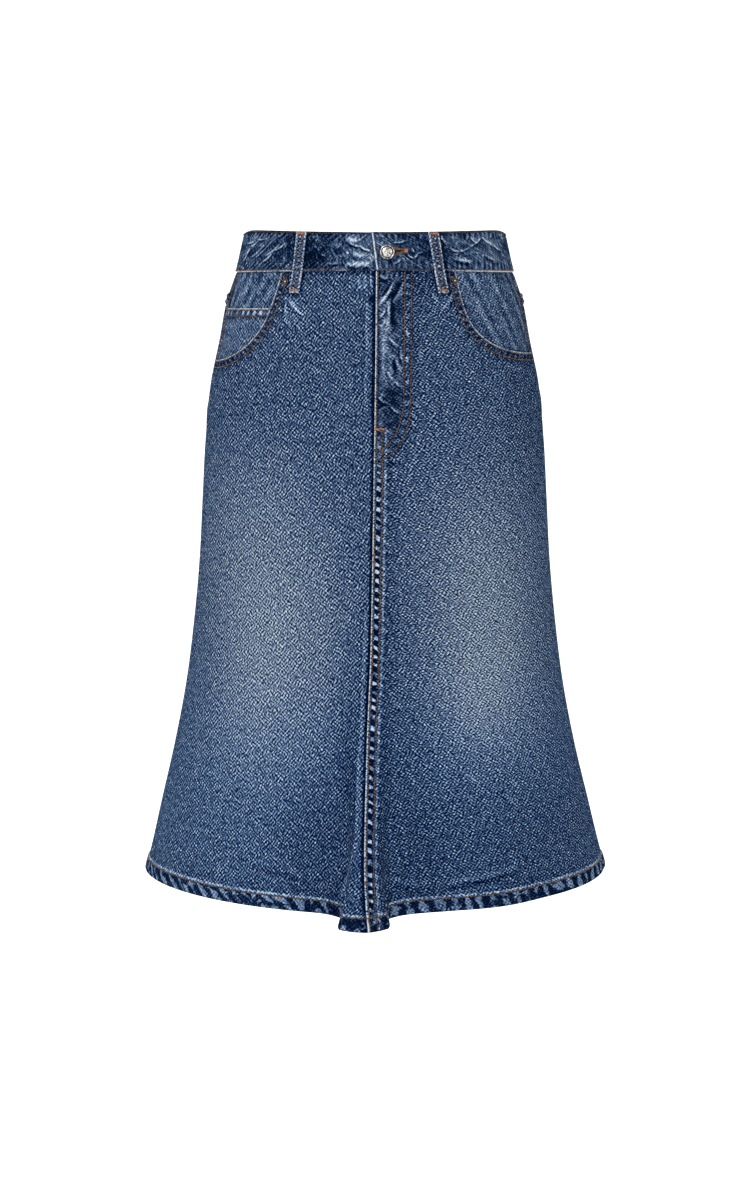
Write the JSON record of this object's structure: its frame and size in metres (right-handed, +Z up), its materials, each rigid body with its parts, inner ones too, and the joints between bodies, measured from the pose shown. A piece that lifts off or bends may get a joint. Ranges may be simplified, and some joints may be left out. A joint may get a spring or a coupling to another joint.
{
  "type": "denim skirt",
  "caption": "Flared knee-length denim skirt with jeans pockets, fly, waistband and belt loops, open at waist and hem, filled out as worn.",
  "frame": {"origin": "middle of the waistband's ring, at mid height of the band at centre front, where a waist holds the skirt", "axes": "+Z up, out of the waist; -Y to the front, where the fly is; +X to the wearer's left"},
  "size_m": [0.4973, 0.3949, 0.6975],
  "materials": {
    "denim": "washed mid-blue cotton denim twill",
    "dark_denim": "washed dark-blue cotton denim twill, creased",
    "nickel": "plain polished nickel shank button",
    "gunmetal": "dark gunmetal rivet with a bright nipple"
  },
  "bodies": {
    "root": {"front_right": "denim", "front_left": "denim", "back_right": "denim", "back_left": "denim", "yoke_right": "denim", "yoke_left": "denim", "pocket_facing_right": "denim", "pocket_facing_left": "denim", "coin_pocket": "denim", "fly_shield": "denim", "belt_loop_front_right": "denim", "belt_loop_front_left": "denim", "belt_loop_back_right": "denim", "belt_loop_back_left": "denim", "belt_loop_back_centre": "denim", "waistband": "dark_denim", "button": "nickel", "rivet_right": "gunmetal", "rivet_left": "gunmetal"}
  },
  "joints": []
}
